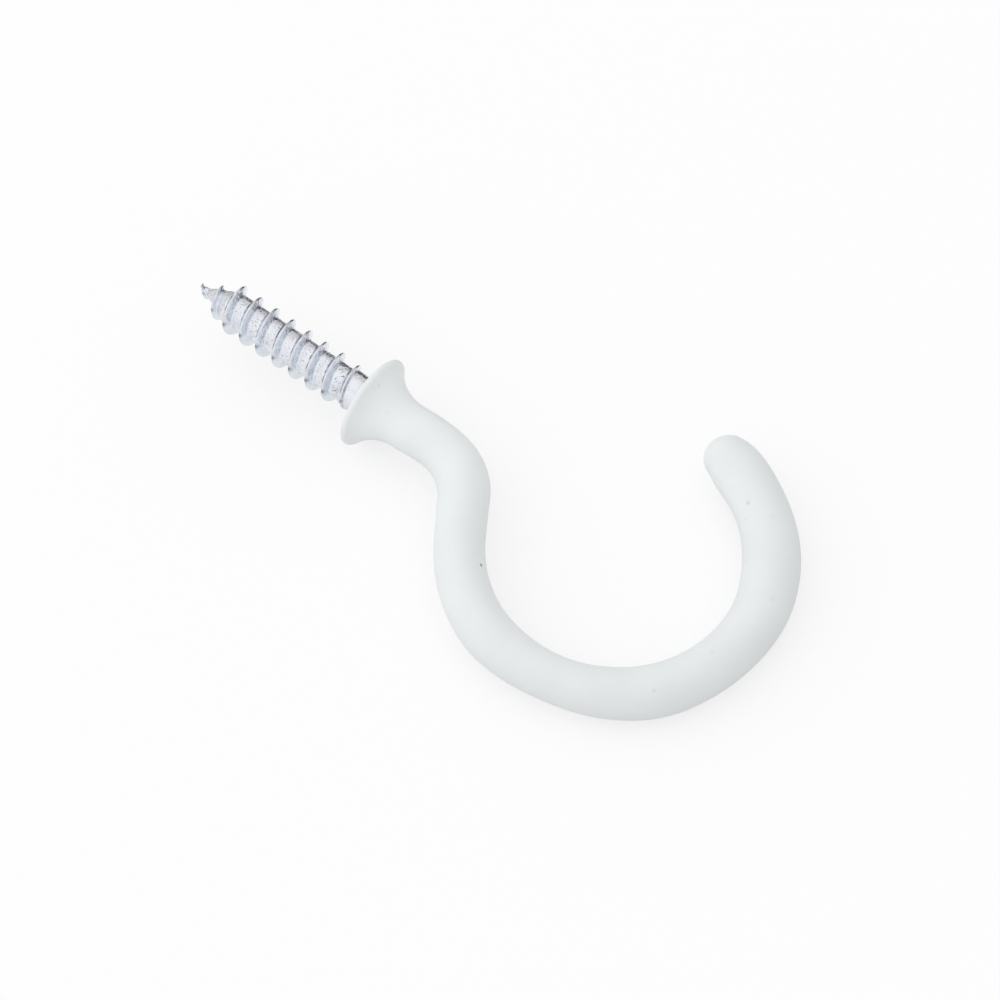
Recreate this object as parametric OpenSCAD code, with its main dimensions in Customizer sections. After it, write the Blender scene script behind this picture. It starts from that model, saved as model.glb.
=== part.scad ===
// Shouldered screw hook: a steel wire hook with a rolled wood-screw thread, dipped in plastic
// from its collar to its free end. It lies on its side, as it comes to rest on a table.
// The origin is the centre of the collar's seat, on the screw's axis. +X runs towards the bowl.

/* [Hook] */
// Straight neck, from the seat to the bend
neck_l = 9.2; // [7.5:0.1:20]
// Centre-line radius of the neck's bend
bend_r = 6.7; // [5:0.1:12]
// Straight leg between the bend and the bowl
leg_l = 4.4; // [0.5:0.1:12]
// Clear width inside the bowl, between coats
bowl_gap = 27; // [16:0.5:50]
// Distance of the bowl's centre from the screw's axis, away from the leg
bowl_offset = 1.5; // [0:0.1:3]
// Angle that the bowl turns through, from the leg to the free end
bowl_sweep = 227; // [150:1:240]

/* [Wire] */
// Diameter of the steel wire
wire_d = 4.1; // [3.4:0.1:5]
// Diameter of the steel collar, forged out of the wire
collar_d = 9; // [8:0.1:12]
// Thickness of the steel collar at its edge
collar_t = 0.4; // [0.3:0.05:0.8]
// Length of the collar's taper down to the wire
collar_taper = 1.8; // [0.8:0.1:2.2]

/* [Coat] */
// Thickness of the plastic on the wire
coat_t = 0.65; // [0.4:0.05:1.2]
// How much more plastic has gathered at the free end, where the coat dripped
end_swell = 0.15; // [0.1:0.05:0.5]
// Thickness of the plastic over the collar's edge
rim_coat = 0.75; // [0.5:0.05:1.5]
// Thickness of the plastic between the seat and the steel collar
seat_coat = 0.3; // [0.2:0.05:0.6]
// Thickness of the plastic behind the collar's edge
lip_coat = 0.1; // [0.1:0.05:0.4]
// Radius of the flare that joins the rim to the neck
flare_r = 5; // [4:0.1:7]
// Bevel of the coat where the shank leaves it
seat_bevel = 0.4; // [0.3:0.05:0.6]

/* [Screw] */
// Length of the screw, from the seat to its point
screw_l = 23.3; // [14:0.1:45]
// Outer diameter of the thread
thread_d = 5.4; // [4.5:0.1:7.5]
// Diameter of the thread's root
root_d = 3.7; // [2.8:0.1:4.1]
// Distance from one turn of the thread to the next
pitch = 2.25; // [1.6:0.05:3.2]
// Width of the thread's crest
crest_w = 0.14; // [0.08:0.02:0.3]
// Angle of each flank from square to the axis
flank_angle = 27; // [20:1:30]
// Length of the shank that keeps the wire's full diameter, next to the seat
shank_l = 2.8; // [2:0.1:6]
// Distance from the seat to the end of the thread
thread_end = 1.6; // [1:0.1:6]
// Length over which the thread fades out beside the shank
runout_l = 2.6; // [0.5:0.1:4]
// Length of the gimlet point
point_l = 4.3; // [2.5:0.1:8]
// Turn of the whole thread about the screw's axis
thread_turn = 185; // [0:1:359]

/* [Hidden] */
$fn = 64;

wire_r = wire_d / 2;
coat_r = wire_r + coat_t;
root_r = root_d / 2;
thread_r = thread_d / 2;

// The bowl's arc, the leg and the neck's bend run into each other with no corner, which
// settles how far the neck has to turn.
bowl_r = bowl_gap / 2 + coat_r;
neck_turn = acos((bend_r + bowl_offset) / norm([bowl_r + bend_r, leg_l]))
            - atan2(leg_l, bowl_r + bend_r);
bowl_x = neck_l + (bend_r + bowl_r) * sin(neck_turn) + leg_l * cos(neck_turn);

// The coated collar: a thin rounded rim, then a flare that touches both the rim and the neck. The
// rim is widest over the steel collar's front face, and its back is a larger round than its front.
collar_x = seat_coat + collar_t;
rim_r = collar_d / 2 + rim_coat;
rim_back = collar_t + lip_coat;
rim_ring = rim_r - rim_back;
flare_rise = flare_r + coat_r - rim_ring;
flare_run = sqrt(pow(flare_r + rim_back, 2) - pow(flare_rise, 2));
flare_x = seat_coat + flare_run;
flare_angle = atan2(flare_rise, flare_run);

// Angle that the neck's arc is bent too far, before it is cut square. The leg is a hair thinner
// than the arcs that it joins, so that no two edges all but coincide.
overbend = 4;
hair = 0.04;

// The coat's free end is part of a sphere, and the wire runs on into it.
end_r = coat_r + end_swell;
wire_past = 1.2;

// The thread. Its ridge starts a little way under the root's surface, so that they fuse.
thread_sink = 0.2;
tip_r = 0.25;
tip_thread_r = 0.5;
root_blend = 0.5;
fade = 0.25;
steps_per_turn = 24;

// How the hook lies: the rim and the outside of the bowl touch the table, and the weight is
// over the line between them. Each row holds a stretch's mass in grams, and its middle's x, y.
steel_density = 7.85e-3;
plastic_density = 1.3e-3;
steel_g = PI * wire_r * wire_r * steel_density;
bar_g = steel_g + PI * (coat_r * coat_r - wire_r * wire_r) * plastic_density;
screw_mid = (screw_l - point_l / 2) / 2;
bend_l = bend_r * neck_turn * PI / 180;
bowl_l = bowl_r * bowl_sweep * PI / 180;
bowl_mid = neck_turn + 90 - bowl_sweep / 2;
bowl_reach = bowl_r * sin(bowl_sweep / 2) / (bowl_l / bowl_r / 2);
stretches = [
    [steel_g * 2 * screw_mid, -screw_mid, 0],
    [bar_g * neck_l, neck_l / 2, 0],
    [steel_density * PI * (pow(collar_d / 2, 2) - pow(wire_r, 2)) * collar_t, collar_x, 0],
    [bar_g * bend_l, neck_l + bend_r * sin(neck_turn / 2), bend_r * (cos(neck_turn / 2) - 1)],
    [bar_g * leg_l, neck_l + bend_r * sin(neck_turn) + leg_l / 2 * cos(neck_turn),
        bend_r * (cos(neck_turn) - 1) - leg_l / 2 * sin(neck_turn)],
    [bar_g * bowl_l, bowl_x + bowl_reach * cos(bowl_mid),
        bowl_offset - bowl_reach * sin(bowl_mid)]
];
function moment(c) = [for (s = stretches) s[0]] * [for (s = stretches) s[c]];
lean = atan2(moment(2), moment(1));
touch = lean - asin((bowl_offset * cos(lean) - bowl_x * sin(lean)) / bowl_r);
touch_run = (bowl_x - seat_coat) * cos(touch) + bowl_offset * sin(touch) + bowl_r;
lie_tilt = atan2(rim_ring, touch_run) - asin((coat_r - rim_back) / norm([touch_run, rim_ring]));

// Puts its children where each stretch of the hook starts, with X along the wire.
module at_bend() {
    translate([neck_l, 0, 0]) children();
}
module at_leg() {
    at_bend() translate([0, -bend_r, 0]) rotate(-neck_turn) translate([0, bend_r, 0]) children();
}
module at_bowl() {
    at_leg() translate([leg_l, 0, 0]) children();
}
module at_end() {
    at_bowl() translate([0, bowl_r, 0]) rotate(bowl_sweep) translate([0, -bowl_r, 0]) children();
}

// A round bar of radius r, bent to radius turn_r through an angle towards +Y.
module bent_bar(r, turn_r, angle) {
    translate([0, turn_r, 0]) rotate(-90)
        rotate_extrude(angle = angle) translate([turn_r, 0]) circle(r);
}

// A block that is square to the wire, over all that lies just past the start of a stretch.
module past(r) {
    translate([0, -2 * r, -2 * r]) cube(4 * r);
}

// A round bar of radius r, from the end of the neck to a length l past the end of the bowl. The
// neck's arc is bent a little too far and cut square, so that its cut face is the leg's own.
module hook_bar(r, l) {
    difference() {
        at_bend() rotate([180, 0, 0]) bent_bar(r, bend_r, neck_turn + overbend);
        at_leg() past(r);
    }
    at_leg() rotate([0, 90, 0]) cylinder(h = leg_l, r = r - hair);
    at_bowl() bent_bar(r, bowl_r, bowl_sweep + l / bowl_r * 180 / PI);
}

// Turns an outline of [x, radius] points about the screw's axis.
module turned(outline) {
    rotate([0, 90, 0]) rotate_extrude() polygon([for (p = outline) [p[1], p[0]]]);
}

// The forged blank: gimlet point, thread root, shank, collar and neck.
module steel_blank() {
    turned([
        [-screw_l, 0],
        [-screw_l, tip_r],
        [-screw_l + point_l, root_r],
        [-shank_l - root_blend, root_r],
        [-shank_l, wire_r],
        [seat_coat, wire_r],
        [seat_coat, collar_d / 2],
        [collar_x, collar_d / 2],
        [collar_x + collar_taper, wire_r],
        [neck_l, wire_r],
        [neck_l, 0]
    ]);
}

// Radius of the root and of the crest at a place x along the screw.
function root_at(x) = min(root_r, tip_r + (root_r - tip_r) * (x + screw_l) / point_l);
function crest_at(x) = min(
    tip_thread_r + (thread_r - tip_thread_r) * (x + screw_l) / point_l,
    thread_r,
    wire_r + fade + (thread_r - wire_r - fade) * (-thread_end - x) / runout_l);

// The thread's ridge: a four-sided section that climbs the screw along a right-handed helix.
module thread_ridge() {
    start = -screw_l + crest_w;
    steps = ceil((-thread_end - start) / pitch * steps_per_turn);
    points = [for (i = [0:steps])
        let (x = start + (-thread_end - start) * i / steps,
             turn = thread_turn + 360 * x / pitch,
             foot = max(root_at(x) - thread_sink, 0.05),
             crest = max(crest_at(x), foot + 0.05),
             half = crest_w / 2 + (crest - foot) * tan(flank_angle))
        for (p = [[-half, foot], [-crest_w / 2, crest], [crest_w / 2, crest], [half, foot]])
            [x + p[0], p[1] * cos(turn), p[1] * sin(turn)]];
    sides = [for (i = [0:steps - 1], k = [0:3])
        let (a = 4 * i + k, b = 4 * i + (k + 1) % 4)
        each [[a, b, a + 4], [b, b + 4, a + 4]]];
    caps = [[3, 2, 1, 0], [4 * steps, 4 * steps + 1, 4 * steps + 2, 4 * steps + 3]];
    polyhedron(points, concat(sides, caps), convexity = 10);
}

module steel_hook() {
    color("#c3cad6") {
        steel_blank();
        hook_bar(wire_r, wire_past);
        thread_ridge();
    }
}

// The plastic coat: one closed skin over the collar, the neck and the whole hook.
module plastic_coat() {
    function arc(x, y, r, from, to, steps) =
        [for (i = [0:steps]) let (a = from + (to - from) * i / steps) [x + r * cos(a), y + r * sin(a)]];
    color("#e9edee") difference() {
        union() {
            turned(concat(
                [[seat_bevel, 0], [seat_bevel, wire_r], [0, wire_r + seat_bevel]],
                arc(seat_coat, rim_r - seat_coat, seat_coat, 180, 90, 6),
                arc(seat_coat, rim_ring, rim_back, 90, flare_angle, 8),
                arc(flare_x, coat_r + flare_r, flare_r, 180 + flare_angle, 270, 14),
                [[neck_l, coat_r], [neck_l, 0]]));
            hook_bar(coat_r, 0);
            at_end() sphere(end_r);
        }
        steel_blank();
        hook_bar(wire_r, wire_past);
    }
}

// Lays the hook down about its seat, on its rim and the outside of its bowl.
module lying() {
    rotate(touch) rotate([0, lie_tilt, 0]) rotate(-touch) children();
}

lying() steel_hook();
lying() plastic_coat();
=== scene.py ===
# %% [markdown]
# # A plastic-dipped screw hook
# The real object is one length of steel wire. One end carries a rolled wood-screw thread, the other
# is bent round into a bowl, and everything from the collar to the free end has been dipped in soft
# white plastic. It could be put together from cylinders and rings, but every joint would show. So
# this lesson loads the measured model as a fixed frame and builds two fine skins over it, each in
# one go: the steel with its thread, and the coat as it really dries, thicker where it has run.

# %% Load the frame
import math

import bpy
import numpy as np
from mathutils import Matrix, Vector


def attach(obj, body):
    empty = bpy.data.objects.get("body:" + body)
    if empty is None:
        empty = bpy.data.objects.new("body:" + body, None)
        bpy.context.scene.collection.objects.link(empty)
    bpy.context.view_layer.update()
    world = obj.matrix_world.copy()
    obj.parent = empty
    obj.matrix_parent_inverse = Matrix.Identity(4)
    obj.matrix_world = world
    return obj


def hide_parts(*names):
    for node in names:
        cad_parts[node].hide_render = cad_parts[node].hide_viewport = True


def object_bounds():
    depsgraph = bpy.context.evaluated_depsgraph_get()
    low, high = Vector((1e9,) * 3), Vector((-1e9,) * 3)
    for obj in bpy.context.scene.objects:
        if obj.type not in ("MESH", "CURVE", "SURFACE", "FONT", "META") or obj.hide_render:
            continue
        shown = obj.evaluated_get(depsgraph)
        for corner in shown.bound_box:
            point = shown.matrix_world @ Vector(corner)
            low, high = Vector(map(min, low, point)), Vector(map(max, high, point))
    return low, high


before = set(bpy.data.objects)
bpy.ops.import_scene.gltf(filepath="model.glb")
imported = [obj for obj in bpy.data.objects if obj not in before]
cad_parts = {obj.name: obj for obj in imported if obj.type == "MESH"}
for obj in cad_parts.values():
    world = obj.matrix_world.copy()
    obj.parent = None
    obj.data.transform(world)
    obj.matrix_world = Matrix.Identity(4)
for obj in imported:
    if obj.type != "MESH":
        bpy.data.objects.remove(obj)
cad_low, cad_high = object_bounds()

MM = 0.001
print("box, mm:", [round((b - a) / MM, 1) for a, b in zip(cad_low, cad_high)])

# %% [markdown]
# ## The sizes that drive everything
# A bent wire is fully described by its stretches: a straight neck, a bend, a straight leg and the
# bowl. It could also be a hand-drawn curve, but then a size would be hard to read off or to change.
# Every length below is in millimetres and matches the frame. The distance s along the wire's middle
# line starts at the collar's seat, so the screw has a negative s.

# %% Sizes
NECK_L, BEND_R, LEG_L = 9.2, 6.7, 4.4
BOWL_GAP, BOWL_OFFSET, BOWL_SWEEP = 27.0, 1.5, math.radians(227)
WIRE_R, COAT_R = 2.05, 2.7
COLLAR_R, COLLAR_T, COLLAR_TAPER = 4.5, 0.4, 1.8
SEAT_COAT, RIM_COAT, LIP_COAT, SEAT_BEVEL, FLARE_R = 0.3, 0.75, 0.1, 0.4, 5.0
END_SWELL, WIRE_PAST = 0.15, 1.2

BOWL_R = BOWL_GAP / 2 + COAT_R
REACH = math.hypot(BOWL_R + BEND_R, LEG_L)
TURN = math.acos((BEND_R + BOWL_OFFSET) / REACH) - math.atan2(LEG_L, BOWL_R + BEND_R)
BEND_END = NECK_L + BEND_R * TURN
BOWL_START = BEND_END + LEG_L
BOWL_END = BOWL_START + BOWL_R * BOWL_SWEEP
print(f"bend turns {math.degrees(TURN):.1f} degrees, the wire is {BOWL_END:.1f} mm long past its seat")

# %% [markdown]
# ## The wire's middle line
# The real wire is bent round pins, so its middle is made of arcs and straight lines with no corner
# between them. A Bezier curve could follow it only nearly. Here each stretch adds its own step to
# the line, and a step that is over stays as it was, so the line needs no cases: the part of s that
# falls in each stretch is clipped out and turned into a step. Past the bowl the line runs straight
# on, which is where the rounded free end sits.

# %% The middle line
def middle_line(s):
    """Where the wire's middle is at each s, and its heading.

    A straight stretch adds its length along its heading. An arc of radius r that turns from heading
    a to b adds r (sin b - sin a) along x and r (cos a - cos b) along y, for a turn to the left, and
    the opposite for a turn to the right."""
    bend = np.clip(s - NECK_L, 0, BEND_END - NECK_L) / BEND_R
    leg = np.clip(s - BEND_END, 0, LEG_L)
    bowl = np.clip(s - BOWL_START, 0, BOWL_END - BOWL_START) / BOWL_R
    past = np.maximum(s - BOWL_END, 0)
    last_heading = BOWL_SWEEP - TURN
    x = np.minimum(s, NECK_L) + BEND_R * np.sin(bend) + leg * math.cos(TURN)
    y = -BEND_R * (1 - np.cos(bend)) - leg * math.sin(TURN)
    x = x + BOWL_R * (np.sin(bowl - TURN) + math.sin(TURN)) + past * math.cos(last_heading)
    y = y + BOWL_R * (math.cos(TURN) - np.cos(bowl - TURN)) + past * math.sin(last_heading)
    return x, y, bowl - bend


free_x, free_y, free_heading = middle_line(np.array([BOWL_END]))
print("free end at", free_x.round(2), free_y.round(2), "heading", np.degrees(free_heading).round(1))

# %% [markdown]
# ## How it lies
# Put down on a table, the hook rests on the rim of its collar and on the outside of its bowl, with
# its weight over the line between them. Turning the finished objects would move the patterns on
# them, so the lean goes into the points instead, by one matrix that every skin uses. TOUCH is where
# round the bowl the table touches it, and the tilt follows from the rim's and the coat's radius.

# %% Lying down
TOUCH = math.radians(-19.99)
RIM_R = COLLAR_R + RIM_COAT
RIM_BACK = COLLAR_T + LIP_COAT
RIM_RING = RIM_R - RIM_BACK
BOWL_X = NECK_L + (BEND_R + BOWL_R) * math.sin(TURN) + LEG_L * math.cos(TURN)
TOUCH_RUN = (BOWL_X - SEAT_COAT) * math.cos(TOUCH) + BOWL_OFFSET * math.sin(TOUCH) + BOWL_R
TILT = math.atan2(RIM_RING, TOUCH_RUN) - math.asin((COAT_R - RIM_BACK) / math.hypot(TOUCH_RUN, RIM_RING))


def turn_about_z(a):
    """The matrix that turns by a about +Z."""
    return np.array([[math.cos(a), -math.sin(a), 0], [math.sin(a), math.cos(a), 0], [0, 0, 1]])


def turn_about_y(a):
    """The matrix that turns by a about +Y."""
    return np.array([[math.cos(a), 0, math.sin(a)], [0, 1, 0], [-math.sin(a), 0, math.cos(a)]])


LYING = turn_about_z(TOUCH) @ turn_about_y(TILT) @ turn_about_z(-TOUCH)
print(f"the hook lies tilted by {math.degrees(TILT):.2f} degrees")

# %% [markdown]
# ## A skin round a line
# Every surface of the hook is round about its wire. A curve with a bevel gives such a tube, but one
# radius all round at each place, and no way back along the line. So both pieces are rings carried
# along the middle line. A ring may go back as well as forward, so one list of (s, radius) pairs can
# draw a rim, a flat seat or a hole, and a radius may differ all round, which gives the thread. The
# first and last rings shrink to one point, so the skin is closed.

# %% Rings along the line
AROUND = 96
ANGLES = np.arange(AROUND) * 2 * math.pi / AROUND


def skin(name, s, radius):
    """A closed mesh of rings. Ring i is square to the wire at s[i]. Its point at angle a is
    C + radius (cos a N + sin a Z): C is the middle line, N its left-hand normal, Z the hook's own
    upward normal. The first and last rings become single points."""
    x, y, heading = middle_line(s)
    sideways = radius * np.cos(ANGLES)
    points = np.stack([x[:, None] - sideways * np.sin(heading)[:, None],
                       y[:, None] + sideways * np.cos(heading)[:, None],
                       radius * np.sin(ANGLES)], axis=-1)
    rings = len(s) - 2
    body = points[1:-1].reshape(-1, 3)
    ends = points[[0, -1]].mean(axis=1)
    vertices = np.concatenate([body, ends]) @ LYING.T * MM
    i, j = np.meshgrid(np.arange(rings - 1), np.arange(AROUND), indexing="ij")
    a, b = i * AROUND + j, i * AROUND + (j + 1) % AROUND
    quads = np.stack([a, b, b + AROUND, a + AROUND], axis=-1).reshape(-1, 4)
    j = np.arange(AROUND)
    k = (j + 1) % AROUND
    first, last = len(body), len(body) + 1
    top = (rings - 1) * AROUND
    caps = np.concatenate([np.stack([k, j, np.full(AROUND, first)], -1),
                           np.stack([top + j, top + k, np.full(AROUND, last)], -1)])
    mesh = bpy.data.meshes.new(name)
    mesh.from_pydata(vertices, [], quads.tolist() + caps.tolist())
    mesh.shade_smooth()
    piece = bpy.data.objects.new(name, mesh)
    bpy.context.scene.collection.objects.link(piece)
    print(name, "has", 2 * len(quads) + len(caps), "triangles")
    return piece


print(f"a ring has {AROUND} points, {2 * math.pi * COAT_R / AROUND:.2f} mm apart on the coat")


# %% Parts of an outline, and a smooth bump
def arc(x, r, size, start, stop, steps):
    """Points (s, radius) on an arc of a size about (x, r), from one angle to another in degrees:
    the middle plus the size times the cosine and the sine of the angle. The first is left out,
    because the outline is already there."""
    a = np.radians(np.linspace(start, stop, steps))[1:]
    return np.stack([x + size * np.cos(a), r + size * np.sin(a)], -1)


def straight(*corners, step):
    """Points (s, radius) along straight lines through the corners, no further apart than the step:
    each line's start plus a share of the way to its end."""
    out = []
    for (s0, r0), (s1, r1) in zip(corners, corners[1:]):
        n = max(1, math.ceil(math.hypot(s1 - s0, r1 - r0) / step))
        t = np.arange(n) / n
        out.append(np.stack([s0 + (s1 - s0) * t, r0 + (r1 - r0) * t], -1))
    return np.concatenate(out + [np.array([corners[-1]])])


def bell(value, middle, width):
    """1 at the middle and less on both sides of it: e to the power of minus the square of the
    distance over the width."""
    return np.exp(-((value - middle) / width) ** 2)


print("a bell one width away from its middle:", bell(1.0, 0.0, 1.0).round(2))

# %% [markdown]
# ## The steel under the coat
# From the seat on, the steel is a forged collar and then plain round wire, bent with the hook. It
# is hidden and could be left out, but it is one piece with the screw, and the coat needs a hole that
# fits it. So it is drawn once and used twice: as the end of the steel piece, and, walked backwards,
# as the hole inside the coat.

# %% Collar and wire
WIRE_END_R = 0.66 * WIRE_R
wire_from = SEAT_COAT + COLLAR_T + COLLAR_TAPER
wire_to = BOWL_END + WIRE_PAST
collar_and_wire = np.concatenate([
    straight((SEAT_COAT, COLLAR_R), (SEAT_COAT + COLLAR_T, COLLAR_R), (wire_from, WIRE_R), step=0.5),
    straight((wire_from + 0.4, WIRE_R), (wire_to, WIRE_R), step=1.2),
    straight((wire_to, WIRE_END_R), (wire_to, 0), step=0.8)])
print("collar and wire:", len(collar_and_wire), "rings")

# %% [markdown]
# ## The thread
# The real thread is rolled: flat dies squeeze the blank until a narrow ridge stands up round it,
# once a pitch. Blender's Screw modifier makes a thread that is the same all along, but this one
# grows out of a gimlet point and fades out beside the shank. Unrolled, the screw is a sheet whose
# height depends only on the distance to the nearest crest, so the whole ridge is one formula in x
# and the angle. The crest is slightly round, the flanks are straight and steep, and a small fillet
# joins them to the root. The point's root and crest are a little hollow, with a narrow place just
# behind the tip. The frame's own thread has flat sides and is turned by 185 degrees. The drawn one
# is turned by 165, which moves it along the screw by an eighteenth of its pitch.

# %% Thread sizes
SCREW_L, THREAD_R, ROOT_R, PITCH = 23.3, 2.7, 1.85, 2.25
CREST_W, FLANK, THREAD_TURN = 0.14, math.radians(27), math.radians(165)
# The point: the radius of its root and of its first turn, its length, and how hollow it is.
TIP_R, TIP_THREAD_R, POINT_L, POINT_HOLLOW = 0.12, 0.43, 4.3, 1.2
# The narrow place behind the tip.
WAIST_AT, WAIST_L, WAIST_DEPTH = 1.15, 0.4, 0.1
# The shank, and how the thread fades out beside it.
SHANK_L, ROOT_BLEND, THREAD_END, RUNOUT_L, FADE, END_SLOPE = 2.8, 0.5, 1.6, 2.6, 0.25, 4
# The ridge: how round its crest is, the fillet at its foot, and the least height that counts.
CREST_ROUND, FILLET, LEAST_RIDGE = 0.02, 0.1, 0.02
# What plain root is marked with, where a crest is 0 and the foot of a flank is 1.
PLAIN_ROOT = 3.0
print("the thread has", round((SCREW_L - THREAD_END) / PITCH, 1), "turns")


# %% The thread as a formula
def soft_max(a, b, k):
    """The larger of two, with the corner between them rounded over about k: half of their sum and
    of the root of their difference squared plus k squared."""
    return (a + b + np.sqrt((a - b) ** 2 + k * k)) / 2


def screw_radius(x):
    """Radius of the screw at x in each direction, and where across the ridge each point is.

    root: a hollow cone from the point up to the root's radius, then a short slope to the shank.
    crest: the least of the point's cone, the full radius and the fading line beside the shank.
    ridge: the crest less the distance past its flat top over the tangent of the flank.
    across: the distance from the crest over the ridge's half width, so that 0 is the crest, 1 is
    the foot of a flank, and more is plain root.
    side: a sine over the pitch, above 0 on the head's side of the crest and below 0 on the other."""
    x = x[:, None]
    from_tip = x + SCREW_L
    growing = (from_tip / POINT_L) ** POINT_HOLLOW
    root = np.minimum(TIP_R + (ROOT_R - TIP_R) * growing, ROOT_R)
    root = root - WAIST_DEPTH * bell(from_tip, WAIST_AT, WAIST_L)
    root = root + (WIRE_R - ROOT_R) * np.clip((x + SHANK_L + ROOT_BLEND) / ROOT_BLEND, 0, 1)
    crest = np.minimum(TIP_THREAD_R + (THREAD_R - TIP_THREAD_R) * growing, THREAD_R)
    fading = WIRE_R + FADE + (THREAD_R - WIRE_R - FADE) * (-THREAD_END - x) / RUNOUT_L
    crest = np.minimum(crest, fading) - END_SLOPE * np.maximum(x + THREAD_END, 0)
    turns = x / PITCH - (ANGLES - THREAD_TURN) / (2 * math.pi)
    off = (turns - np.round(turns)) * PITCH
    past_flat = np.hypot(np.maximum(np.abs(off) - CREST_W / 2, 0), CREST_ROUND)
    ridge = crest - past_flat / math.tan(FLANK)
    half_width = CREST_W / 2 + np.maximum(crest - root, LEAST_RIDGE) * math.tan(FLANK)
    across = np.minimum(np.abs(off) / half_width, PLAIN_ROOT)
    side = np.sin(off / PITCH * 2 * math.pi)
    return soft_max(root, ridge, FILLET), across, side


halfway = screw_radius(np.array([-SCREW_L / 2]))[0]
print("halfway, the screw's radius is", halfway.min().round(2), "to", halfway.max().round(2), "mm")

# %% [markdown]
# ## The steel piece
# The screw, the shank, the collar and the wire are one forging, so they are one skin. The shank
# could be a separate cylinder, but a seam would run round it. The very tip is rounded off over a
# quarter of a millimetre by a dome, with rings that stand closer together there.

# %% The steel piece
DOME_L, DOME_ANGLES = 0.25, np.linspace(0.2, 1.5, 8)
SCREW_RINGS, RINGS_FROM, RINGS_TO = 640, 0.26 - SCREW_L, -0.2

dome_x = DOME_L * (1 - np.cos(DOME_ANGLES)) - SCREW_L
screw_x = np.concatenate([dome_x, np.linspace(RINGS_FROM, RINGS_TO, SCREW_RINGS)])
thread, across, side = screw_radius(screw_x)
dome = np.sqrt(1 - (1 - np.clip((screw_x + SCREW_L) / DOME_L, 0, 1)) ** 2)
plain = np.concatenate([[(SEAT_COAT, WIRE_R)], collar_and_wire])
steel_s = np.concatenate([[-SCREW_L], screw_x, plain[:, 0]])
steel_radius = np.concatenate([np.zeros((1, AROUND)), thread * dome[:, None],
                               np.repeat(plain[:, 1:], AROUND, axis=1)])
steel = skin("steel_with_thread", steel_s, steel_radius)

# %% [markdown]
# ## Marks for the zinc to follow
# The marks follow the thread. Painted shade lies at the foot of each turn and at a few fixed places
# round the screw, and the flecks lie on the root alone. A painted picture could say where, but it would
# need a map of the surface. The thread's formula already knows where every point is, so each mark is
# one number for each point of the mesh, which the material reads by name.

# %% Marks on the steel
FLECKS_END, FLECKS_FADE = -2.2, 0.5
SCUFF_AT, SCUFF_L = -3.9, 0.7
# Painted shade along the tip's crest: how dark, where it starts and how it fades.
TIP_DARK, TIP_FROM, TIP_FADE = 0.7, -22.5, 0.3


def mark(piece, name, values, elsewhere):
    """Stores values, one for each point from the first ring on, and another for all the rest."""
    every = np.full(len(piece.data.vertices), elsewhere)
    every[:values.size] = values.ravel()
    piece.data.attributes.new(name, "FLOAT", "POINT").data.foreach_set("value", every)
    print(name, "runs from", round(every.min(), 2), "to", round(every.max(), 2))


along = np.repeat(screw_x[:, None], AROUND, axis=1)
turned = np.degrees(ANGLES)
# Painted shade in a few places: each is one bell in the degrees round the screw, times another in the place
# across the ridge.
shade_by_foot = bell(turned, 62, 11) * bell(across, 0.9, 0.3) * (side > 0)
shade_by_crest = bell(turned, 166, 6) * bell(across, 0.0, 0.45)
shade_at_tip = TIP_DARK * np.clip((TIP_FROM - along) / TIP_FADE, 0, 1) * bell(across, 0.0, 0.6)
mark(steel, "across_ridge", across, PLAIN_ROOT)
mark(steel, "head_side", side, 1.0)
mark(steel, "flecked", np.clip((FLECKS_END - along) / FLECKS_FADE, 0, 1), 0.0)
mark(steel, "scuffed", bell(along, SCUFF_AT, SCUFF_L), 0.0)
mark(steel, "shade_spots", np.clip(shade_by_foot + shade_by_crest + shade_at_tip, 0, 1), 0.0)

# %% [markdown]
# ## The coat
# The plastic is one skin from the hole in the seat, over the thin rim of the collar and down a flare
# to the neck, then all the way to the free end. A Solidify modifier on the steel would give an even
# shell, but no rim, no flare and no flat seat. So the outline is drawn as arcs and lines: first back
# along the steel, which makes the hole, then forward again outside it. The end cap is an arc whose
# length is stretched by END_SWELL, for the last drop that dried there.

# %% The coat's outline
flare_rise = FLARE_R + COAT_R - RIM_RING
flare_x = SEAT_COAT + math.sqrt((FLARE_R + RIM_BACK) ** 2 - flare_rise ** 2)
flare_angle = math.degrees(math.atan2(flare_rise, flare_x - SEAT_COAT))
inside = np.concatenate([
    collar_and_wire[::-1],
    straight((SEAT_COAT, WIRE_R + SEAT_BEVEL - SEAT_COAT), (0, WIRE_R + SEAT_BEVEL), (0, RIM_R - SEAT_COAT),
             step=0.3)])
outside = np.concatenate([
    arc(SEAT_COAT, RIM_R - SEAT_COAT, SEAT_COAT, 180, 90, steps=14),
    arc(SEAT_COAT, RIM_RING, RIM_BACK, 90, flare_angle, steps=20),
    arc(flare_x, COAT_R + FLARE_R, FLARE_R, 180 + flare_angle, 270, steps=60),
    straight((flare_x + 0.1, COAT_R), (BOWL_END, COAT_R), step=0.16),
    arc(0, 0, 1, 90, 0, steps=40) * (COAT_R + END_SWELL, COAT_R) + (BOWL_END, 0)])
outline = np.concatenate([inside, outside])
print("coat:", len(inside), "rings inside and", len(outside), "outside")

# %% [markdown]
# ## Swellings in the wall
# Dipped plastic has an even wall only on paper. It thins on the first part of the bowl, runs down
# to the outside while the hook hangs, and gathers before the free end. Sculpting would do it, but
# could not be read or changed. Here the wall is the plain radius plus a few smooth bumps, each
# (place along the wire, width, height). They act mostly in the plane of the hook, because its top
# and bottom have drained alike.

# %% The swellings, and the coat
# The wall is thicker on both sides where the height is positive, and thinner where it is negative.
THICKER = [(8.2, 2.0, -0.06), (14.2, 2.5, 0.1), (21.5, 3.0, -0.03), (32.0, 2.5, 0.05),
           (40.8, 4.9, -0.26), (52.0, 3.8, 0.08), (71.5, 8.4, 0.345), (82.8, 3.2, 0.2), (85.2, 1.0, -0.2)]
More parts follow.
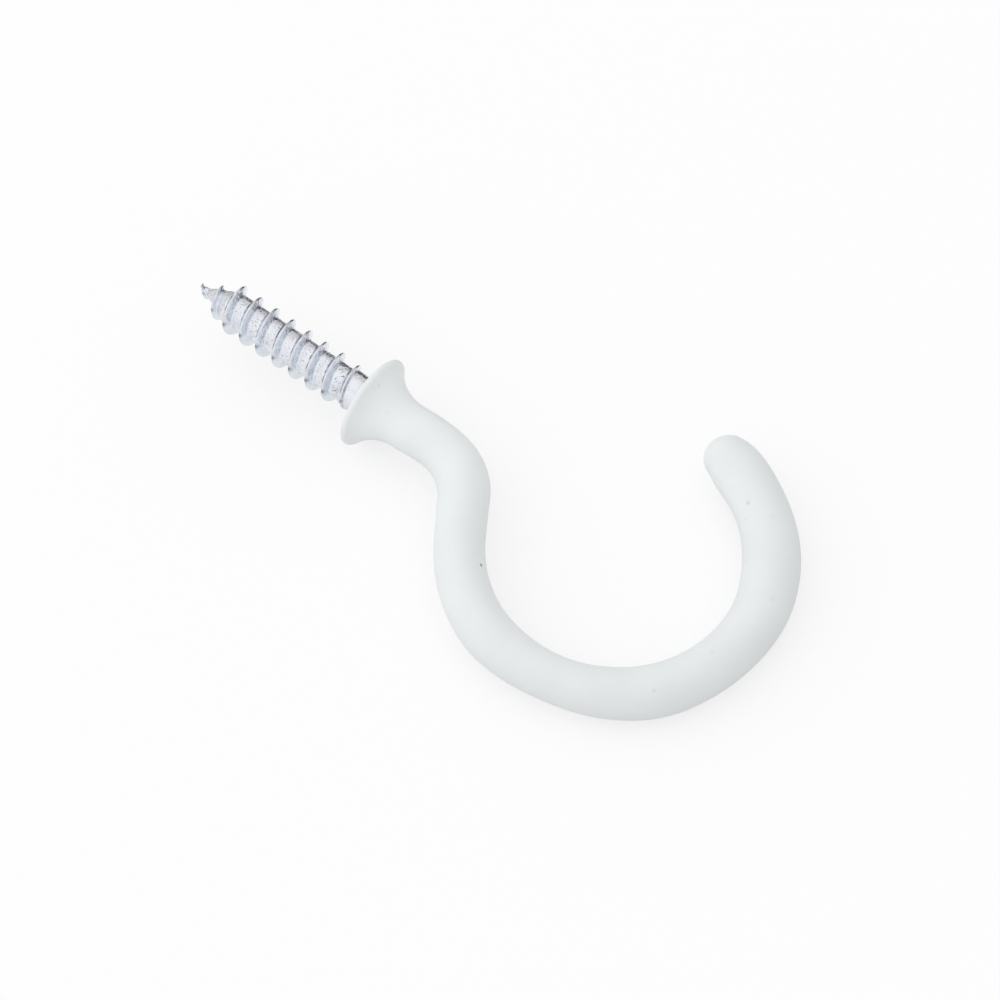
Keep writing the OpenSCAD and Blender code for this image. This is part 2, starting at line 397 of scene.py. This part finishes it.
# The coat sits to the left of the wire where the height is positive, and to the right otherwise.
LEANING = [(7.8, 1.8, 0.14), (21.5, 4.0, 0.12), (31.7, 3.0, -0.11), (40.0, 3.5, 0.11),
           (51.2, 4.2, -0.17), (66.0, 3.5, -0.08), (86.5, 4.0, -0.3)]
TOP_SHARE = 0.35


def swelling(s, bumps):
    """The sum of the bumps at each s: each is its height times a bell about its place."""
    place, width, height = np.array(bumps).T
    return (height * bell(s[:, None], place, width)).sum(axis=1)


rounding = np.minimum(outside[:, 1] / COAT_R, 1)
thicker = swelling(outside[:, 0], THICKER) * rounding
leaning = swelling(outside[:, 0], LEANING) * rounding
in_plane = TOP_SHARE + (1 - TOP_SHARE) * np.cos(ANGLES) ** 2
outside_r = outside[:, 1:] + thicker[:, None] * in_plane + leaning[:, None] * np.cos(ANGLES)
inside_r = np.repeat(inside[:, 1:], AROUND, axis=1)
coat = skin("dipped_coat", outline[:, 0], np.concatenate([inside_r, outside_r]))
print("the wall gains from", round(thicker.min(), 2), "to", round(thicker.max(), 2), "mm")

# %% [markdown]
# ## Painted light on the coat
# The coat's colour is painted lighter over the flare and the neck, and on the side that faces the
# middle of a bend, where more light and the table's bounce light fall: this is painted light, not a
# change in the plastic. Two short lists say how both change along the wire, and their product goes
# on the mesh as one more mark.

# %% Whiteness of the coat
# Painted light: place along the wire, and how many times as light the plastic is painted.
LIGHT_ALONG = [(0.0, 1.03), (0.6, 1.08), (2.0, 1.1), (4.5, 1.07), (8.0, 1.04), (25.0, 1.01), (40.0, 1.0)]
# Painted bounce light: place along the wire, and how much of it the side that faces inward gets.
BOUNCE_ALONG = [(8.0, 0.0), (14.0, 1.0), (36.0, 1.0), (44.0, 0.0), (74.0, 0.0), (80.0, 1.0)]
INWARD, INWARD_W, BOUNCE_GAIN = 20, 35, 0.05

# Painted light along the wire, times painted bounce light on the inward side, stored as one mark.
painted_light = np.interp(outline[:, 0], *zip(*LIGHT_ALONG))
from_inward = (turned - INWARD + 180) % 360 - 180
bounce_along = np.interp(outline[:, 0], *zip(*BOUNCE_ALONG))
painted_bounce = 1 + BOUNCE_GAIN * bounce_along[:, None] * bell(from_inward, 0, INWARD_W)
mark(coat, "painted_light", (painted_light[:, None] * painted_bounce)[1:-1], 1.0)

# %% [markdown]
# ## An uneven surface, for both finishes
# Neither finish is perfectly even: the plastic is faintly cloudy, and zinc plate has a fine mottle.
# Each material could have its own noise, but the effect is the same, so it is one group with named
# sockets that is built once. It gives a broad pattern and one six times finer.

# %% Shared group: an uneven surface
def uneven_surface():
    """A node group that turns a position into two grey values: noise with as many cells to a metre
    as the size says, and noise with six times as many."""
    group = bpy.data.node_groups.new("Uneven surface", "ShaderNodeTree")
    for label, kind in (("Place", "NodeSocketVector"), ("Size", "NodeSocketFloat")):
        group.interface.new_socket(label, in_out="INPUT", socket_type=kind)
    for label in ("Broad", "Fine"):
        group.interface.new_socket(label, in_out="OUTPUT", socket_type="NodeSocketFloat")
    given = group.nodes.new("NodeGroupInput")
    result = group.nodes.new("NodeGroupOutput")
    for label, detail, finer in (("Broad", 3.0, 1.0), ("Fine", 5.0, 6.0)):
        scale = group.nodes.new("ShaderNodeMath")
        scale.operation = "MULTIPLY"
        scale.inputs[1].default_value = finer
        noise = group.nodes.new("ShaderNodeTexNoise")
        noise.inputs["Detail"].default_value = detail
        group.links.new(given.outputs["Size"], scale.inputs[0])
        group.links.new(given.outputs["Place"], noise.inputs["Vector"])
        group.links.new(scale.outputs[0], noise.inputs["Scale"])
        group.links.new(noise.outputs["Fac"], result.inputs[label])
    return group


UNEVEN = uneven_surface()
print("group made:", UNEVEN.name, "with", [socket.name for socket in UNEVEN.interface.items_tree])

# %% [markdown]
# ## Small helpers for materials
# A finish is a handful of masks and tones that are multiplied together. Wiring each node by hand
# takes ten lines, so each kind of node gets one short function that makes it, wires it and returns
# its output.

# %% Helpers: nodes and what feeds them
def new_material(name):
    """A material with a Principled shader, and its tree."""
    material = bpy.data.materials.new(name)
    material.use_nodes = True
    tree = material.node_tree
    return material, tree, tree.nodes["Principled BSDF"]


def feed(tree, value, socket):
    """Links an output to a socket, or writes a plain number or colour into it."""
    if isinstance(value, bpy.types.NodeSocket):
        tree.links.new(value, socket)
    else:
        socket.default_value = (*value, 1) if isinstance(value, tuple) else value


def figure(tree, operation, *values):
    """The result of one operation on numbers."""
    node = tree.nodes.new("ShaderNodeMath")
    node.operation = operation
    for value, socket in zip(values, node.inputs):
        feed(tree, value, socket)
    return node.outputs[0]


def attribute(tree, name):
    """A mark that is stored on the mesh."""
    node = tree.nodes.new("ShaderNodeAttribute")
    node.attribute_name = name
    return node.outputs["Fac"]


def place_uneven(tree, cells):
    """The uneven group, reading Object coordinates, with so many cells to a metre."""
    where = tree.nodes.new("ShaderNodeTexCoord")
    group = tree.nodes.new("ShaderNodeGroup")
    group.node_tree = UNEVEN
    feed(tree, cells, group.inputs["Size"])
    feed(tree, where.outputs["Object"], group.inputs["Place"])
    return group


print("marks on the steel:", [a.name for a in steel.data.attributes if a.data_type == "FLOAT"])

# %% Helpers: tones
NONE, ALL = (0, 0, 0), (1, 1, 1)


def ramp(tree, value, low, high, low_at=0.0, high_at=1.0):
    """A colour that runs from low to high as the value does."""
    node = tree.nodes.new("ShaderNodeValToRGB")
    for element, at, colour in zip(node.color_ramp.elements, (low_at, high_at), (low, high)):
        element.position = at
        element.color = (*colour, 1)
    feed(tree, value, node.inputs["Fac"])
    return node.outputs["Color"]


def blend(tree, factor, one, other, kind="MIX"):
    """One colour where the factor is 0, and where it is 1 the other, or their product."""
    node = tree.nodes.new("ShaderNodeMix")
    node.data_type = "RGBA"
    node.blend_type = kind
    for value, i in zip((factor, one, other), (0, 6, 7)):
        feed(tree, value, node.inputs[i])
    return node.outputs[2]


def multiply(tree, first, *rest):
    """The product of all the colours."""
    for colour in rest:
        first = blend(tree, 1.0, first, colour, "MULTIPLY")
    return first


def bump(tree, shader, height, depth):
    """Feeds a height to the shader's normal, as a bump of that depth in metres."""
    node = tree.nodes.new("ShaderNodeBump")
    node.inputs["Distance"].default_value = depth
    feed(tree, height, node.inputs["Height"])
    feed(tree, node.outputs["Normal"], shader.inputs["Normal"])


print("a colour can be a ramp, a blend or a product of tones from", NONE, "to", ALL)

# %% [markdown]
# ## Specks in the white plastic
# A dip bath always holds a little dirt, and each grain ends up as a grey speck under the skin. Noise
# would scatter them evenly, but real ones are few, and one of them is dark. A speck is a small ball
# in space: the plastic is darker where it is near the ball's middle, with an edge that wobbles. So
# it needs no map of the surface, and it stays sharp at any size.

# %% Specks: place along the wire in mm, degrees round it, radius in mm, how much darker
SPECKS = [(78.3, 52, 0.17, 0.2), (76.6, 34, 0.13, 0.12), (75.7, 94, 0.26, 0.05),
          (25.3, 41, 0.14, 0.75), (66.4, 109, 0.22, 0.08), (57.8, 82, 0.17, 0.08),
          (50.7, 116, 0.17, 0.13), (1.2, 90, 0.16, 0.13), (1.1, 97, 0.14, 0.07), (3.3, 116, 0.22, 0.05)]
SPECK_WOBBLE, SPECK_CORE, SPECK_EDGE = 2.0, 1.2, 2.7


def on_coat(s, degrees):
    """The coat's point nearest to a place along the wire and an angle round it. The mesh has no
    ring for the first point of the outline, because that one is a cap."""
    ring = len(inside) - 1 + int(np.abs(outside[:, 0] - s).argmin())
    return coat.data.vertices[ring * AROUND + round(degrees / 360 * AROUND)].co[:]


def speck(tree, place, wobble, middle, size, depth):
    """1 away from the speck's middle and 1 - depth inside it. The distance to the middle gets a
    wobble of about the speck's size added, and is then turned into a soft step."""
    apart = tree.nodes.new("ShaderNodeVectorMath")
    apart.operation = "DISTANCE"
    apart.inputs[1].default_value = middle
    feed(tree, place, apart.inputs[0])
    uneven = figure(tree, "MULTIPLY_ADD", wobble, SPECK_WOBBLE * size, apart.outputs["Value"])
    edge = tree.nodes.new("ShaderNodeMapRange")
    for label, value in (("Value", uneven), ("From Min", SPECK_CORE * size),
                         ("From Max", SPECK_EDGE * size), ("To Min", 1 - depth), ("To Max", 1.0)):
        feed(tree, value, edge.inputs[label])
    return edge.outputs["Result"]


print("darkest speck at", [round(c / MM, 1) for c in on_coat(25.3, 41)], "mm")

# %% [markdown]
# ## White plastic
# The coat is satin white vinyl, a little cool in tone. One flat white with some roughness would look
# like chalk. Here the tone drifts a little from place to place, the painted light and the specks
# multiply it, and a bump of a fiftieth of a millimetre breaks up the sheen as the real skin does.

# %% White plastic
CLOUDS = 260.0
CLOUD_LOW, CLOUD_HIGH = (0.8, 0.827, 0.836), (0.827, 0.849, 0.854)
PLASTIC_BUMP = 0.02 * MM


def white_plastic():
    """Satin white dip coat, a little uneven in tone, with its specks."""
    material, tree, shader = new_material("white dip coat")
    uneven = place_uneven(tree, CLOUDS)
    place = tree.nodes.new("ShaderNodeTexCoord").outputs["Object"]
    colour = ramp(tree, uneven.outputs["Broad"], CLOUD_LOW, CLOUD_HIGH, 0.3, 0.7)
    # Painted light: the coat is made lighter over the flare, the neck and the inward side of bends.
    colour = multiply(tree, colour, attribute(tree, "painted_light"))
    for s, degrees, size, depth in SPECKS:
        spot = speck(tree, place, uneven.outputs["Fine"], on_coat(s, degrees), size * MM, depth)
        colour = multiply(tree, colour, spot)
    feed(tree, colour, shader.inputs["Base Color"])
    shader.inputs["Roughness"].default_value = 0.5
    shader.inputs["Specular IOR Level"].default_value = 0.35
    bump(tree, shader, uneven.outputs["Fine"], PLASTIC_BUMP)
    return material


coat.data.materials.append(white_plastic())
print("white plastic made, with", len(SPECKS), "specks")

# %% [markdown]
# ## Tones of the zinc
# Across one turn the bare zinc changes tone: a burnished crest, then painted reflection on the flanks,
# greyer on the head's side, which mirrors the darker side, and paler on the tip's side, then the
# pale land of the root. Each side of the ridge has a list of bands (place across it, colour), which
# a colour ramp turns into one smooth run of tones.

# %% Bands across the ridge: 0 is the crest, 1 the foot of the flank, more is the land
LAND, CREST = (0.84, 0.855, 0.905), (0.8, 0.815, 0.86)
HEAD_FLANK_SHADE, TIP_FLANK_LIGHT = (0.8, 0.84, 0.9), (0.87, 0.9, 0.95)
# Painted reflection: the head's side flank greyer and the tip's side flank paler than the land.
HEAD_BANDS = [(0.0, CREST), (0.16, CREST), (0.28, HEAD_FLANK_SHADE), (1.15, HEAD_FLANK_SHADE), (1.35, LAND)]
TIP_BANDS = [(0.0, CREST), (0.16, CREST), (0.3, TIP_FLANK_LIGHT), (0.9, TIP_FLANK_LIGHT), (1.1, LAND)]
ON_LAND = [(0.0, NONE), (1.15, NONE), (1.4, ALL)]
AT_FOOT = [(0.0, NONE), (0.88, NONE), (0.95, ALL), (1.08, ALL), (1.16, NONE)]


def banded(tree, value, bands):
    """A colour that follows bands of (place, colour). A ramp ends at 1, so each place is divided
    by that of the plain root."""
    node = tree.nodes.new("ShaderNodeValToRGB")
    while len(node.color_ramp.elements) < len(bands):
        node.color_ramp.elements.new(0.5)
    for element, (where, tone) in zip(node.color_ramp.elements, bands):
        element.position = where / PLAIN_ROOT
        element.color = (*tone, 1)
    feed(tree, figure(tree, "DIVIDE", value, PLAIN_ROOT), node.inputs["Fac"])
    return node.outputs["Color"]


def layer(tree, mask, colour):
    """The colour where the mask is 1, and white, which changes nothing, where it is 0."""
    return blend(tree, mask, ALL, colour)


print("bands:", len(HEAD_BANDS), "on the head's side,", len(TIP_BANDS), "on the tip's side")

# %% [markdown]
# ## Zinc plate
# The screw is bright zinc over rolled steel. A plain metal shader would look like chrome. The real
# one has grey flecks and tiny pits on its lands and a scuffed place beside the shank, and painted shade
# darkens the foot of each turn and a few places round it. Flecks, pits and scuffs are noise cut off at a
# level, laid only where their marks say, and the painted shade at the foot is patchy. All of them multiply
# the tone of the bands.
# The pits also make the surface slightly rough in shape.

# %% Zinc plate
MOTTLE_CELLS, PIT_CELLS, FLECK_CELLS = 1100.0, 2600.0, 5200.0
# Each stain: its colour, the noise below which it is full, and the noise above which it is gone.
MOTTLE = ((0.9, 0.9, 0.91), 0.35, 0.6)
FLECK = ((0.7, 0.7, 0.74), 0.35, 0.44)
PIT = ((0.25, 0.25, 0.3), 0.27, 0.32)
SCUFF = ((0.2, 0.2, 0.24), 0.33, 0.4)
# Painted shade: its colour, and the mottle below which the shade at the foot is full and above which it is
# gone.
PAINTED_SHADE, SHADE_FULL, SHADE_GONE = (0.2, 0.2, 0.25), 0.42, 0.58
ZINC_BUMP = 0.12 * MM


def stained(tree, noise, stain):
    """The stain's colour where the noise is low, and white where it is high."""
    colour, full_at, gone_at = stain
    return ramp(tree, noise.outputs["Broad"], colour, ALL, full_at, gone_at)


def zinc_plate():
    """Bright zinc on rolled steel: pale lands with grey flecks, greyer flanks as painted reflection, bright
    crests, and painted shade at the foot of each turn and in a few places.
    """
    material, tree, shader = new_material("bright zinc plate")
    mottle = place_uneven(tree, MOTTLE_CELLS)
    flecks = place_uneven(tree, FLECK_CELLS)
    pits = place_uneven(tree, PIT_CELLS)
    across = attribute(tree, "across_ridge")
    head = ramp(tree, attribute(tree, "head_side"), NONE, ALL, 0.0, 0.01)
    # Painted reflection across each turn: one run of tones for each side of the ridge.
    bands = blend(tree, head, banded(tree, across, TIP_BANDS), banded(tree, across, HEAD_BANDS))

    flecked = multiply(tree, banded(tree, across, ON_LAND), attribute(tree, "flecked"))
    spots = layer(tree, flecked, multiply(tree, stained(tree, flecks, FLECK), stained(tree, pits, PIT)))
    scuffed = multiply(tree, flecked, attribute(tree, "scuffed"))
    scuffs = layer(tree, scuffed, stained(tree, pits, SCUFF))

    # Painted shade at the foot of each turn on the tip's side, made patchy by the mottle.
    patchy = ramp(tree, mottle.outputs["Broad"], ALL, NONE, SHADE_FULL, SHADE_GONE)
    foot = multiply(tree, banded(tree, across, AT_FOOT), ramp(tree, head, ALL, NONE), patchy)
    foot_shade = layer(tree, foot, PAINTED_SHADE)
    # Painted shade at the few places in its mark.
    corner = layer(tree, attribute(tree, "shade_spots"), PAINTED_SHADE)

    colour = multiply(tree, bands, stained(tree, mottle, MOTTLE), spots, scuffs, foot_shade, corner)
    feed(tree, colour, shader.inputs["Base Color"])
    shader.inputs["Metallic"].default_value = 1.0
    shader.inputs["Roughness"].default_value = 0.1
    bump(tree, shader, pits.outputs["Broad"], ZINC_BUMP)
    return material


steel.data.materials.append(zinc_plate())
print("zinc plate has", len(steel.data.materials[0].node_tree.nodes), "nodes")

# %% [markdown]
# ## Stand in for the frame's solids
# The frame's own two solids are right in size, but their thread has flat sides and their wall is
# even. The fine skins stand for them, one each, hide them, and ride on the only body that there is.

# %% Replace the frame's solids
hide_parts("steel_hook")
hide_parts("plastic_coat")
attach(steel, "root")
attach(coat, "root")
print("two skins stand for", sorted(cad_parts))

# %% [markdown]
# ## The table
# The hook lies on a white sheet that fades into a white room. A brighter lamp would burn out the
# hook too, so the sheet's own material does it: the camera sees a whiter paper than the hook gets
# light from, and a part of what the camera and the metal see is an even glow. The rest is plain
# matt paper, which keeps the hook's soft shadow.

# %% The table
TABLE_HALF = 1.5
TABLE_GLOW = 0.65
PAPER, PAPER_SEEN = (0.8, 0.8, 0.8), (1.0, 1.0, 1.0)


def flat_sheet(name, x0, x1, y0, y1, z, rise=0.0):
    """A rectangle, facing up. It is level, or its edge at y1 is raised."""
    mesh = bpy.data.meshes.new(name)
    corners = [(x0, y0, z), (x1, y0, z), (x1, y1, z + rise), (x0, y1, z + rise)]
    mesh.from_pydata(corners, [], [(0, 1, 2, 3)])
    sheet = bpy.data.objects.new(name, mesh)
    bpy.context.scene.collection.objects.link(sheet)
    return sheet


def table_finish():
    """White paper: matt, and a glow in the share that the camera's and the metal's rays see."""
    material, tree, shader = new_material("white table")
    tree.nodes.remove(shader)
    matt = tree.nodes.new("ShaderNodeBsdfDiffuse")
    glow = tree.nodes.new("ShaderNodeEmission")
    path = tree.nodes.new("ShaderNodeLightPath")
    seen = figure(tree, "MAXIMUM", path.outputs["Is Camera Ray"], path.outputs["Is Glossy Ray"])
    feed(tree, ramp(tree, path.outputs["Is Camera Ray"], PAPER, PAPER_SEEN), matt.inputs["Color"])
    mix = tree.nodes.new("ShaderNodeMixShader")
    shares = (figure(tree, "MULTIPLY", seen, TABLE_GLOW), matt.outputs[0], glow.outputs[0])
    for value, socket in zip(shares, mix.inputs):
        feed(tree, value, socket)
    feed(tree, mix.outputs[0], tree.nodes["Material Output"].inputs["Surface"])
    return material


table = flat_sheet("table top", -TABLE_HALF, TABLE_HALF, -TABLE_HALF, TABLE_HALF, cad_low[2])
table.data.materials.append(table_finish())
print("table at z =", round(cad_low[2] / MM, 2), "mm, the lowest point of the hook")

# %% [markdown]
# ## Two cards beside the screw
# Bright metal looks like whatever it reflects, and in a white room it would vanish, so in a studio
# cards are laid beside it. Dark paint on the screw would be right from one side only. Here a black
# strip, tilted up a little, draws the dark line along the far edge of the root, and a white strip
# between it and the screw keeps the light underneath. Only shine sees them: the camera, the
# plastic's plain light and the shadows don't.

# %% The cards
CARD_X = (-0.05, 0.004)
CARD_LIFT = 0.1 * MM


def card(name, y0, y1, rise, tone):
    """A strip of card on the table, which shows as one even tone."""
    sheet = flat_sheet(name, *CARD_X, y0, y1, cad_low[2] + CARD_LIFT, rise)
    material, tree, shader = new_material(name)
    shader.inputs["Base Color"].default_value = (0, 0, 0, 1)
    shader.inputs["Specular IOR Level"].default_value = 0.0
    shader.inputs["Emission Color"].default_value = (tone, tone, tone, 1)
    shader.inputs["Emission Strength"].default_value = 1.0
    sheet.data.materials.append(material)
    sheet.visible_camera = False
    sheet.visible_diffuse = False
    sheet.visible_shadow = False
    print(name, "covers y from", y0 / MM, "to", y1 / MM, "mm")


card("white card", y0=0.0, y1=0.014, rise=0.0, tone=1.0)
card("black card", y0=0.014, y1=0.09, rise=0.012, tone=0.02)

# %% [markdown]
# ## The sky
# A studio's soft light comes from big white screens. Many lamps could stand in for them, but each
# would leave its own highlight, so the light is the sky itself. It has three looks. To the camera it
# is plain white. The light that it gives comes mostly from high on the left. What the metal mirrors
# is white high up and greyer low down, most of all on the far side, which draws each turn's form.

# %% The sky
SKY_LOW, SKY_HIGH = (0.725, 0.725, 0.725), (1.19, 1.19, 1.19)
SKY_FROM = (-0.68, -0.375, 0.625)
SHINE_LOW, SHINE_FROM, SHINE_FULL = (0.65, 0.65, 0.65), (0.0, -0.42, 0.906), 0.6


def soft_sky():
    """The world: one look for the camera, one for shine, and one for all other light."""
    world = bpy.data.worlds.new("soft sky")
    bpy.context.scene.world = world
    world.use_nodes = True
    tree = world.node_tree
    where = tree.nodes.new("ShaderNodeTexCoord")
    path = tree.nodes.new("ShaderNodeLightPath")

    def towards(direction, low, high, high_at):
        """A colour that runs from low, on all the far side, to high near one direction. The value
        is the cosine of the angle between a ray and that direction."""
        cosine = tree.nodes.new("ShaderNodeVectorMath")
        cosine.operation = "DOT_PRODUCT"
        cosine.inputs[1].default_value = direction
        feed(tree, where.outputs["Generated"], cosine.inputs[0])
        return ramp(tree, cosine.outputs["Value"], low, high, 0.0, high_at)

    light = towards(SKY_FROM, SKY_LOW, SKY_HIGH, 1.0)
    shine = towards(SHINE_FROM, SHINE_LOW, ALL, SHINE_FULL)
    sky = blend(tree, path.outputs["Is Glossy Ray"], light, shine)
    sky = blend(tree, path.outputs["Is Camera Ray"], sky, ALL)
    feed(tree, sky, tree.nodes["Background"].inputs["Color"])


soft_sky()
print("sky gives from", SKY_LOW[0], "to", SKY_HIGH[0])

# %% [markdown]
# ## The lamp
# One broad screen stands on the left and models the round of the wire, as a softbox does. A small
# lamp or a sun would cut hard shadows. The metal would mirror the screen as a bright square, so it
# is kept out of the shine.

# %% The lamp
LAMP_AZIMUTH, LAMP_ELEVATION = -57.9, 40
LAMP_DISTANCE, LAMP_SIZE, LAMP_WATTS = 0.6, 0.5, 0.15


def direction(azimuth, elevation):
    """The way to something seen so many degrees to the right of the front, and so many up: sine
    and minus cosine of the azimuth, both times the elevation's cosine, and the elevation's sine."""
    a, e = math.radians(azimuth), math.radians(elevation)
    return Vector((math.sin(a) * math.cos(e), -math.cos(a) * math.cos(e), math.sin(e)))


def stand(name, data, middle, back):
    """An object that stands back from a middle and faces it."""
    thing = bpy.data.objects.new(name, data)
    thing.location = middle + back
    thing.rotation_euler = back.to_track_quat("Z", "Y").to_euler()
    bpy.context.scene.collection.objects.link(thing)
    return thing


screen = bpy.data.lights.new("broad lamp", "AREA")
screen.size, screen.energy = LAMP_SIZE, LAMP_WATTS
lamp = stand("broad lamp", screen, (cad_low + cad_high) / 2,
             direction(LAMP_AZIMUTH, LAMP_ELEVATION) * LAMP_DISTANCE)
lamp.visible_glossy = False
print("lamp stands at", [round(c, 2) for c in lamp.location], "m")

# %% [markdown]
# ## The camera
# The view is from above and beside the bowl, so that the curve shows nearly whole and the screw
# keeps its length. A wide lens up close would make the near side of the bowl look swollen. A long
# lens, a third of a metre away, keeps the proportions. It aims near the middle of the whole hook.

# %% The camera
CAMERA_AZIMUTH, CAMERA_ELEVATION, CAMERA_DISTANCE = 37.1, 58.44, 319.9
AIM = Vector((17.28, -0.06, -3.03))
SENSOR, LENS = 36.0, 109.8
NEAR, FAR = 0.01, 10.0

view = bpy.data.cameras.new("camera")
view.sensor_width, view.lens = SENSOR, LENS
view.clip_start, view.clip_end = NEAR, FAR
bpy.context.scene.camera = stand("camera", view, AIM * MM,
                                 direction(CAMERA_AZIMUTH, CAMERA_ELEVATION) * CAMERA_DISTANCE * MM)
bpy.context.scene.view_settings.view_transform = "Standard"
print("camera sees", round(math.degrees(view.angle), 1), "degrees across")
